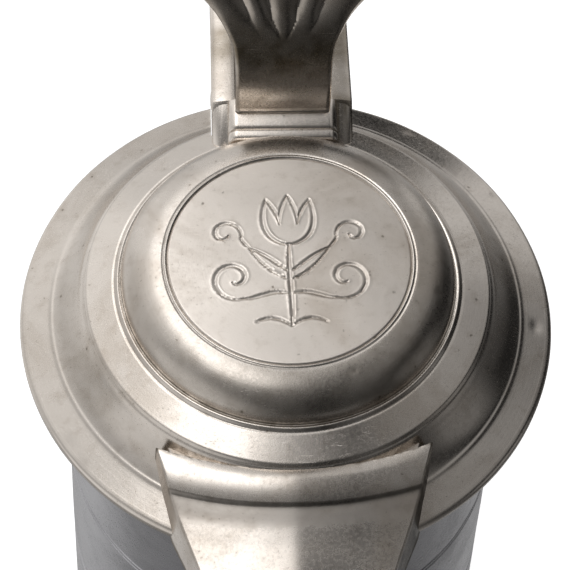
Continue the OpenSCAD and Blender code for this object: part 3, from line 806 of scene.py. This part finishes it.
# Shares of the width and the depth over shares of the height
THUMB_WIDTH = np.array([
    [.5, 0], [.5, .275], [.505, .38], [.525, .46], [.57, .52], [.625, .58], [.69, .635], [.77, .68],
    [.87, .73], [.95, .78], [1, .83], [.98, .89], [.88, .94], [.68, .98], [.4, 1]])
THUMB_FRONT = np.array([
    [.19, 0], [.235, .008], [.265, .03], [.28, .08], [.3, .2], [.34, .3], [.38, .4], [.425, .5],
    [.47, .6], [.505, .7], [.51, .8], [.485, .9], [.46, 1]])
THUMB_REAR = np.array([
    [1, 0], [1, .4], [.97, .5], [.94, .6], [.93, .7], [.93, .78], [.92, .86], [.88, .94], [.76, 1]])
FLUTE_DEPTH, FOOT_SINK, STEM_ROUND, LOBE_TIP_FALL = 0.95, 1.0, 0.55, 1.2
SHELL_FROM, TIP_FROM, LOBE_W = 0.5, 0.86, 0.32
FRONT_COLS, REAR_COLS = 97, 41


def rounded(before, line, after):
    """Line averaged over as many points as are put before and after it."""
    kernel = np.hanning(2 * len(before) + 1)
    return np.convolve(np.concatenate([before, line, after]), kernel / kernel.sum(), "valid")


def smooth_interp(t, table, reach=15):
    """Piecewise curve through [value, place] rows, with its corners rounded."""
    fine = np.linspace(0, 1, 401)
    value = np.interp(fine, table[:, 1], table[:, 0])
    before, after = 2 * value[0] - value[reach:0:-1], 2 * value[-1] - value[-2:-reach - 2:-1]
    return np.interp(t, fine, rounded(before, value, after))


def lobe_fall(share, low, high):
    """How far a point of one rounded lobe falls back towards the lobe's borders."""
    inside = (share >= low) & (share <= high)
    return np.where(inside, np.abs((2 * share - low - high) / (high - low)) ** 2.2, 0)


def make_thumbpiece():
    v = np.concatenate([np.linspace(0, 0.1, 24)[:-1], np.linspace(0.1, TIP_FROM, 84),
                        TIP_FROM + (1 - TIP_FROM) * np.sin(np.linspace(0, pi / 2, 27)[1:])])
    half_w = THUMB_W / 2 * smooth_interp(v, THUMB_WIDTH)
    lean = THUMB_BACK_Y + THUMB_LEAN * v ** 2
    front = lean - THUMB_D * (1 - smooth_interp(v, THUMB_FRONT, 4))
    rear = lean - THUMB_D * (1 - smooth_interp(v, THUMB_REAR))
    edge = np.linspace(0, 1, 9)[1:-1] ** 1.4
    side = np.concatenate([np.linspace(-1, 1, FRONT_COLS), 1 + 0 * edge,
                           np.linspace(1, -1, REAR_COLS), -1 + 0 * edge])
    deep = np.concatenate([np.full(FRONT_COLS, -1.0), 2 * edge - 1,
                           np.full(REAR_COLS, 1.0), 1 - 2 * edge])
    x = half_w[:, None] * side * (1 - (0.1 + 0.1 * v[:, None]) * (deep + 1) / 2)
    mid, half_d = (front + rear)[:, None] / 2, (rear - front)[:, None] / 2
    up = v[:, None]
    share = np.abs(side)[None, :] + 0 * x
    petal = 0.02 + 0.18 * ramp(up - SHELL_FROM, 0.1) ** 0.6
    open_up = ramp(up - SHELL_FROM, 0.2)
    fall = lobe_fall(share, -petal, petal) + lobe_fall(share, petal, petal + LOBE_W) * open_up
    fall += lobe_fall(share, petal + LOBE_W, 1.02) * open_up
    flute = FLUTE_DEPTH * np.minimum(open_up * 1.4, 1) * fall
    rounding = STEM_ROUND * ramp(share - 0.9, 0.1) ** 2 * (1 - open_up)
    on_front = (deep < -0.99)[None, :]
    y = mid + half_d * deep + np.where(on_front, flute, 0) + np.where(on_front, rounding, 0)
    z = BLOCK_Z + THUMB_H * up + 0 * x - np.where(up == 0, FOOT_SINK, 0)
    z = z - LOBE_TIP_FALL * open_up * fall * ramp(up - TIP_FROM, 0.1)
    points = stack(x, y, z)
    points[..., 1] += wobble(points, size=0.06, length=12, seed=21)
    return bevel(loft("thumb_shell", points), 0.35, 2, 50)


def thumb_painted_shade(points):
    """Painted shade up the stem's front, less of it on the shell, and worn along the sides."""
    up = (points[:, 2] - BLOCK_Z) / THUMB_H
    half_w = THUMB_W / 2 * smooth_interp(np.clip(up, 0, 1), THUMB_WIDTH)
    before = points[:, 1] - THUMB_BACK_Y - THUMB_LEAN * up ** 2
    worn = ramp(half_w - np.abs(points[:, 0]), 0.5)
    shell = 1 - 0.5 * ramp(up - 0.46, 0.16)
    return shell * np.clip(0.35 + (up - 0.22) / 0.22, 0.35, 1) * np.where(before < -2, worn, 0.5)


thumbpiece = dress(make_thumbpiece(), 60, 3, thumb_painted_shade)
enter(thumbpiece, "lid", "thumbpiece", LID_CAST)


# Strap handle with its fork

TOP_BEND_R, BACK_BEND_R, CURL_R, STRUT_L = 33.0, 160.0, 20.0, 5.2
TOP_TURN, CURL_TURN = 100.0, 88.0


def arc_end(p, heading, r, bend):
    s = copysign(1, bend)
    a, b = radians(heading), radians(heading + bend)
    return (p[0] + s * r * (sin(b) - sin(a)), p[1] + s * r * (cos(b) - cos(a)))


def strap_path():
    """Points and headings of the strap's middle line, and the heel of its curl."""
    top = (STRAP_Y + STRAP_FLAT, STRAP_TOP_Z - STRAP_T / 2)
    back = arc_end(top, 0, TOP_BEND_R, TOP_TURN)
    lean = atan(DRUM_FLARE / (RIM_Z - FOOT_H))
    turn_rad = radians(TOP_TURN)
    reach = (drum_r(back[1] - BACK_BEND_R * cos(turn_rad)) + STRUT_L + STRAP_T / 2 - back[0]
             + BACK_BEND_R * sin(turn_rad) + CURL_R)
    closing = asin(reach * cos(lean) / (BACK_BEND_R + CURL_R))
    back_turn = degrees(pi - turn_rad - lean - closing)
    low = arc_end(back, TOP_TURN, BACK_BEND_R, back_turn)
    low_heading = TOP_TURN + back_turn
    path = [((STRAP_Y - 0.05 + STRAP_FLAT * t, top[1]), 0) for t in np.linspace(0, 1, 5)[:-1]]
    for start, heading, r, bend, steps in ((top, 0, TOP_BEND_R, TOP_TURN, 40),
                                           (back, TOP_TURN, BACK_BEND_R, back_turn, 46),
                                           (low, low_heading, CURL_R, -CURL_TURN, 48)):
        turns = [bend * i / steps for i in range(steps)]
        path += [(arc_end(start, heading, r, turn), heading + turn) for turn in turns]
    end = arc_end(low, low_heading, CURL_R, -CURL_TURN)
    path.append((end, low_heading - CURL_TURN))
    heel = arc_end(low, low_heading, CURL_R, 90 - low_heading)
    return path, back, end, heel


STRAP_PATH, STRAP_BACK, STRAP_END, HEEL = strap_path()


def strap_half_width(z):
    """Full width at the top, narrower down the back, and a round end."""
    end_r = STRAP_END_W / 2
    end_z = STRAP_END[1] - STRAP_T / 2 + end_r
    if z > STRAP_BACK[1]:
        return STRAP_W / 2
    if z > end_z:
        return end_r + (STRAP_W / 2 - end_r) * (z - end_z) / (STRAP_BACK[1] - end_z)
    return sqrt(max(end_r ** 2 - (end_z - z) ** 2, 4.0))


FORK_RUN, FORK_DROP, FORK_BEVEL, RIB_DEPTH = 5.25, 1.0, 0.6, 0.45


def make_strap():
    """Strap of a flattened section with a line along each border, and its fork."""
    loops = []
    phi = np.linspace(0, 2 * pi, 72, endpoint=False)
    across = np.sign(np.cos(phi)) * np.abs(np.cos(phi)) ** 0.28
    deep = np.sign(np.sin(phi)) * np.abs(np.sin(phi)) ** 0.42
    rib = np.where(np.sin(phi) > 0, -RIB_DEPTH * groove(np.abs(across), 0.78, 0.05), 0)
    rise = STRAP_T / 2 * deep + rib
    for (y, z), heading in STRAP_PATH:
        a = radians(heading)
        x = strap_half_width(z) * across
        loops.append(stack(x, y + sin(a) * rise, z + cos(a) * rise))
    points = np.array(loops)
    points[..., 0] += wobble(points, size=0.05, length=30, seed=5)
    strap = loft("strap", points)
    fork_low, fork_high, rear_y = FLANGE_Z, STRAP_TOP_Z, STRAP_Y + STRAP_FLAT
    a0 = degrees(asin((fork_high - HINGE_Z) / CHEEK_R))
    a1 = -degrees(asin((HINGE_Z - fork_low) / CHEEK_R))
    outline = circle(HINGE_Y, HINGE_Z, CHEEK_R, 30, 180 - a0, a0 - a1)
    outline += [(HINGE_Y, fork_low), (STRAP_Y, FORK_ROOT_Z), (rear_y, fork_high - STRAP_T),
                (rear_y, fork_high)]
    outline += [(y, fork_high) for y in np.linspace(rear_y, HINGE_Y - 7, 18)[1:-1]]
    fork = pillow("fork", outline, STRAP_W / 2, FORK_RUN, FORK_DROP, fork_high - PILLOW_FADE)
    gap = box("gap", (-CHEEK_GAP / 2, NOTCH_Y - 5, fork_low - 1),
              (CHEEK_GAP / 2, STRAP_Y, fork_high + 1))
    cut(fork, gap)
    bevel(fork, FORK_BEVEL)
    cut(fork, hinge_rod("pin_hole", PIN_R + PIN_GAP, CUT_LENGTH, PIN_SEGMENTS))
    combine(strap, fork, "UNION", flush=True)
    strap.name = "strap_cast"
    return strap


def strap_patina_and_shade(points):
    """Browner behind the fork; painted shade on the right and on the right cheek."""
    x, y, _ = points.T
    behind = ramp(y - 53, 5) * np.clip((68 - y) / 4, 0.3, 1)
    cheek_shade = ramp(x - 8, 2) * ramp(46 - y, 2)
    return np.clip(0.85 * behind + 0.4 * ramp(x, 10) + cheek_shade, 0, 1)


handle_strap = dress(make_strap(), 45, 2, strap_patina_and_shade)
enter(handle_strap, "vessel", "handle_strap", HANDLE)


# Brackets that hold the handle on the drum

def drum_solid(z0, z1):
    """Solid drum, to cut what is soldered on it."""
    return lathe("drum_cut", [(0, z0), (drum_r(z0), z0), (drum_r(z1), z1), (0, z1)], CUT_SEGMENTS)


BRACKET_HALF_W, BRACKET_LOW_Z, BRACKET_INNER_Y = 14, 193.5, 44
STRUT_R, STRUT_WAIST, STRUT_SINK, STRUT_OVERLAP = 6.5, 1.1, 0.9, 1.2


def make_upper_bracket():
    lip_r = MOUTH_R + 0.5
    outline = [(BRACKET_INNER_Y, BRACKET_LOW_Z), (BRACKET_INNER_Y, RIM_Z), (lip_r, RIM_Z),
               (lip_r, FLANGE_Z), (HINGE_Y, FLANGE_Z), (STRAP_Y, FORK_ROOT_Z), (STRAP_Y, FLANGE_Z)]
    curve = bezier((STRAP_Y, FLANGE_Z), (64, 211), (55, 208), (50.6, BRACKET_LOW_Z))
    outline += [tuple(p) for p in curve[1:]]
    bracket = prism("upper_bracket_cast", outline, -BRACKET_HALF_W, BRACKET_HALF_W)
    cut(bracket, drum_solid(SEAM_Z, RIM_Z + 0.001))
    return bevel(bracket, 0.7)


enter(dress(make_upper_bracket(), 45, 1), "vessel", "handle_upper_bracket", HANDLE)


def make_lower_bracket():
    """Round strut with a waist, from the drum to the heel of the strap's curl."""
    start, end = drum_r(HEEL[1]) - STRUT_SINK, HEEL[0] - STRAP_T / 2 + STRUT_OVERLAP
    share = np.linspace(0, 1, 22)[:, None]
    radius = STRUT_R - STRUT_WAIST * np.sin(pi * share) ** 0.8
    angle = np.linspace(0, 2 * pi, 64, endpoint=False)
    y = start + (end - start) * share + 0 * angle
    points = stack(radius * np.cos(angle), y, HEEL[1] + radius * np.sin(angle))
    return loft("lower_bracket_cast", points)


enter(dress(make_lower_bracket(), 45, 1), "vessel", "handle_lower_bracket", HANDLE)


# Spout: beak soldered on the drum

BEAK_UPRIGHT, SIDE_STEPS = 2.2, 24


def beak(name, inset):
    """Beak drawn in by inset, from its plan at the rim to its point."""
    taper, root_y = COVER_TAPER, -0.8 * MOUTH_R
    tip_r = tip_radius(SPOUT_W / 2, root_y - SPOUT_TIP_Y)
    tip_y = SPOUT_TIP_Y + tip_r
    tip_r -= inset
    root_x = SPOUT_W / 2 - inset / cos(taper)
    plan = []
    end_x, end_y = -tip_r * cos(taper), tip_y - tip_r * sin(taper)
    for s in np.linspace(0, 1, SIDE_STEPS, endpoint=False):
        plan.append(((-root_x + (end_x + root_x) * s, root_y + (end_y - root_y) * s), pi + taper))
    for a in np.linspace(pi + taper, 2 * pi - taper, 40):
        plan.append(((tip_r * cos(a), tip_y + tip_r * sin(a)), a))
    plan += [((-p[0], p[1]), 3 * pi - a) for p, a in reversed(plan[:SIDE_STEPS])]
    point_z = RIM_Z - SPOUT_H
    low_r, low_z = 2 * DRUM_WALL + SPOUT_WALL - inset, point_z + inset
    low_y = -drum_r(point_z) + DRUM_WALL
    top = np.array([p for p, _ in plan])
    low = np.array([(low_r * cos(a), low_y + low_r * sin(a)) for _, a in plan])
    low[0], low[-1] = (-low_r, low_y + low_r), (low_r, low_y + low_r)
    sloped = RIM_Z - BEAK_UPRIGHT - low_z - BEAK_UPRIGHT
    heights = [(0, low_z)] + [(t, low_z + BEAK_UPRIGHT + sloped * t) for t in np.linspace(0, 1, 40)]
    heights.append((1, RIM_Z + (1 if inset else 0)))
    rows = [np.concatenate([low + (top - low) * t, np.full((len(top), 1), z)], axis=1) for t, z in heights]
    return loft(name, np.array(rows))


def make_spout():
    spout = beak("beak_shell", 0)
    cut(spout, beak("beak_hollow", SPOUT_WALL))
    cut(spout, drum_solid(SEAM_Z, RIM_Z + 5))
    return spout


enter(dress(make_spout(), 45, 2), "vessel", "spout", BODY_CAST)


# Drum sections, turned, with incised lines

UPPER_LINES, LOWER_LINES = [169.2, 171.0, 207.3, 209.5], [30.5, 32.3, 118.6, 120.4]
LINE_DEPTH, LINE_W, LINE_REACH = 0.28, 0.3, 1.1


def drum_profile(z0, z1, lines):
    """Outside from z0 up to z1, then the inside back down."""
    steps = [np.linspace(z0 + 0.4, z1 - 0.4, 40)]
    steps += [np.linspace(c - LINE_REACH, c + LINE_REACH, 19) for c in lines]
    z = np.unique(np.concatenate(steps))
    r = drum_r(z)
    for c in lines:
        r -= LINE_DEPTH * groove(z, c, LINE_W)
    outside = [(drum_r(z0) - 0.25, z0)] + list(zip(r, z)) + [(drum_r(z1) - 0.3, z1)]
    inside = [(drum_r(z1) - DRUM_WALL + 0.2, z1)]
    return outside + inside + [(drum_r(h) - DRUM_WALL, h) for h in np.linspace(z1 - 0.3, z0, 12)]


def drum_shape(points):
    x, y, z = np.moveaxis(points, -1, 0)
    grown = 1 + wobble(points, size=0.06, length=40, seed=17) / np.hypot(x, y)
    return stack(x * grown, y * grown, z)


drum_upper = lathe("drum_upper_turned", drum_profile(SEAM_Z, RIM_Z, UPPER_LINES), shape=drum_shape)
cut(drum_upper, beak("beak_hollow", SPOUT_WALL))
enter(dress(drum_upper, 45), "vessel", "drum_upper", BODY)

drum_lower = lathe("drum_lower_turned", drum_profile(FOOT_H, SEAM_Z, LOWER_LINES), shape=drum_shape)
enter(dress(drum_lower, 45), "vessel", "drum_lower", BODY)


# Moulded foot and bottom plate

# Shares of the foot's spread and height, outside and inside
FOOT_SHARES = np.array([
    [1, 0], [1, .18], [.9, .25], [.82, .27], [.6, .36], [.42, .5], [.28, .68], [.2, .78], [.22, .84],
    [.16, .94], [0, 1]])
FOOT_HOLLOW = [(0, 0.62), (0.2, 0.42), (0.5, 0.24), (0.8, 0.16), (1, 0.12)]
PLATE_R, PLATE_LIFT = DRUM_BASE_R + FOOT_SPREAD - FOOT_WALL, 0.5


def foot_profile():
    spread, height = FOOT_SHARES.T
    lengths = np.hypot(np.diff(spread) * FOOT_SPREAD, np.diff(height) * FOOT_H)
    way = np.concatenate([[0], np.cumsum(lengths)])
    fine = np.linspace(0, way[-1], 110)

    def eased(values):
        line = np.interp(fine, way, values)
        return rounded(np.full(3, line[0]), line, np.full(3, line[-1]))

    r, z = DRUM_BASE_R + FOOT_SPREAD * eased(spread), FOOT_H * eased(height)
    z[0], z[-1], r[-1] = 0, FOOT_H, DRUM_BASE_R
    outside = [(DRUM_BASE_R + FOOT_SPREAD - 0.4, 0)] + list(zip(r[1:], z[1:]))
    inside = [(DRUM_BASE_R - DRUM_WALL, FOOT_H)]
    inside += [(DRUM_BASE_R - FOOT_WALL + FOOT_SPREAD * a, BOTTOM_T + (FOOT_H - BOTTOM_T) * b)
               for a, b in FOOT_HOLLOW]
    return outside + inside + [(PLATE_R, 0)]


enter(dress(lathe("foot_moulded", foot_profile()), 60), "vessel", "foot_ring", BODY)

plate_profile = [(0, PLATE_LIFT), (20, PLATE_LIFT), (20.6, 0.2), (21.2, PLATE_LIFT), (50, PLATE_LIFT),
                 (PLATE_R - 6, 0.3), (PLATE_R - 1, 0), (PLATE_R, 0), (PLATE_R, BOTTOM_T),
                 (50, BOTTOM_T), (20, BOTTOM_T), (0, BOTTOM_T)]
bottom_plate = dress(lathe("bottom_turned", plate_profile, FEWER_SEGMENTS), 45)
enter(bottom_plate, "vessel", "bottom_plate", BODY)


# Pewter plugs over the ends of the hinge pin, filed to a low dome

def make_plugs():
    profile = [(0, -PLUG_T), (PIN_R, -PLUG_T), (PIN_R, -0.1), (PIN_R - 0.12, 0.06),
               (PIN_R * 0.8, 0.13), (PIN_R * 0.5, 0.2), (PIN_R * 0.2, 0.23), (0, 0.235)]
    y, z, out = turn(profile, PIN_SEGMENTS).reshape(-1, 3).T
    ends = [stack(side * (STRAP_W / 2 + out), HINGE_Y + y, HINGE_Z + z)
            for side in (-1, 1)]
    faces = np.array(grid_faces(len(profile), PIN_SEGMENTS, False, True))
    faces = np.concatenate([faces, faces + len(out)]).tolist()
    return build("hinge_plugs_filed", np.concatenate(ends), faces)


enter(dress(make_plugs(), 45, 1), "vessel", "hinge_pin_plugs", HANDLE)


# The pin keeps its own shape

pin_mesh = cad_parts["hinge_pin"].data
pin_mesh.materials.clear()
pin_mesh.materials.append(IRON)


# Floor, backdrop and light

STAGE_R, FLOOR_Z, WALL_LOW_Z, WALL_HIGH_Z, WALL_SEGMENTS = 4000, -0.6, -1, 5000, 48


def stage_mesh(obj, strength):
    """Pale, softly glowing finish for a piece of the stage."""
    g = Graph(bpy.data.materials.new(obj.name))
    g.feed(g.tree.nodes["Principled BSDF"], {"Base Color": (0.9, 0.9, 0.9, 1), "Roughness": 0.9,
                                             "Emission Color": (1, 1, 1, 1), "Emission Strength": strength})
    obj.data.materials.append(g.owner)
    obj.visible_glossy = False


corners = [(-STAGE_R, -STAGE_R), (STAGE_R, -STAGE_R), (STAGE_R, STAGE_R), (-STAGE_R, STAGE_R)]
floor = build("floor", [(x, y, FLOOR_Z) for x, y in corners], [(0, 1, 2, 3)])
stage_mesh(floor, 0.7)
wall_points = turn([(STAGE_R, WALL_LOW_Z), (STAGE_R, WALL_HIGH_Z)], WALL_SEGMENTS).reshape(-1, 3)
wall = build("backdrop", wall_points, grid_faces(2, WALL_SEGMENTS, False, True))
stage_mesh(wall, 1.0)
wall.visible_shadow = False
wall.visible_diffuse = False


# Soft studio: bright left, dark right, dim front, a strip light overhead, a dark gap behind.
# Each span is a range of the x, y or z of a direction.
STRIP_LEVEL, REFLECTOR_LEVEL, FILL_LEVEL, PATCH_LEVEL = 1.95, 0.5, 0.2, 0.25
GROUND_LEVEL, GROUND_LEFT_LEVEL = 0.36, 0.34
REFLECTOR_WAY = (-0.774, -0.633, 0.0)


def make_world():
    world = bpy.data.worlds.new("studio")
    bpy.context.scene.world = world
    g = Graph(world)
    way = g.node("ShaderNodeTexCoord").outputs["Generated"]
    x, y, z = g.node("ShaderNodeSeparateXYZ", {0: way}).outputs

    gap = g.times(g.span(x, 0.02, 0.09), g.span(x, 0.47, 0.4), g.span(y, 0.68, 0.78),
                  g.span(z, 0, 0.1), g.span(z, 0.44, 0.34, 0, 0.98))
    shade = g.times(g.span(x, 0.08, 0.24), g.span(x, 0.42, 0.3), g.span(y, 0.4, 0, 0, 0.75))
    sky = g.times(g.span(x, 0.84, 0.58, 0.015, 0.38), g.span(x, 0.16, -0.1, 1, 1.8),
                  g.span(x, -0.36, -0.56, 1, 1.36), g.span(x, -0.66, -0.82, 1, 0.75),
                  g.span(y, -1, 0.5, 0.14, 1), g.less(1, gap), g.less(1, shade))
    patch = g.times(g.span(x, 0.4, 0.48), g.span(x, 0.75, 0.6), g.span(y, 0.45, 0.7),
                    g.span(z, 0, 0.2, 0, PATCH_LEVEL))
    ground = g.span(z, 0, -0.35)
    across = g.plus(g.span(x, 0.9, 0.4, 0.06, GROUND_LEVEL),
                    g.span(x, -0.2, -0.7, 0, GROUND_LEFT_LEVEL))
    floor_level = g.times(across, g.span(y, -0.15, 0.3, 0.5, 1.15))
    strip = g.times(g.span(x, 0, -0.14), g.span(x, -0.5, -0.33), g.span(y, -0.38, -0.06),
                    g.span(y, 0.85, 0.4), g.span(z, 0.3, 0.6, 0, STRIP_LEVEL))
    facing = g.node("ShaderNodeVectorMath", {0: way, 1: REFLECTOR_WAY}, operation="DOT_PRODUCT")
    reflector = g.span(facing.outputs["Value"], 0.75, 0.98, 0, REFLECTOR_LEVEL)
    fill = g.times(g.span(x, 0.8, 0.95), g.span(y, 0.1, -0.2), g.span(z, -0.5, -0.25),
                   g.span(z, 0.5, 0.25, 0, FILL_LEVEL))
    total = g.plus(g.times(sky, g.less(1, ground)), g.times(ground, floor_level),
                   strip, reflector, fill, patch)
    g.feed(g.tree.nodes["Background"], {"Color": total, "Strength": 1})


make_world()
bpy.context.scene.view_settings.view_transform = "Standard"
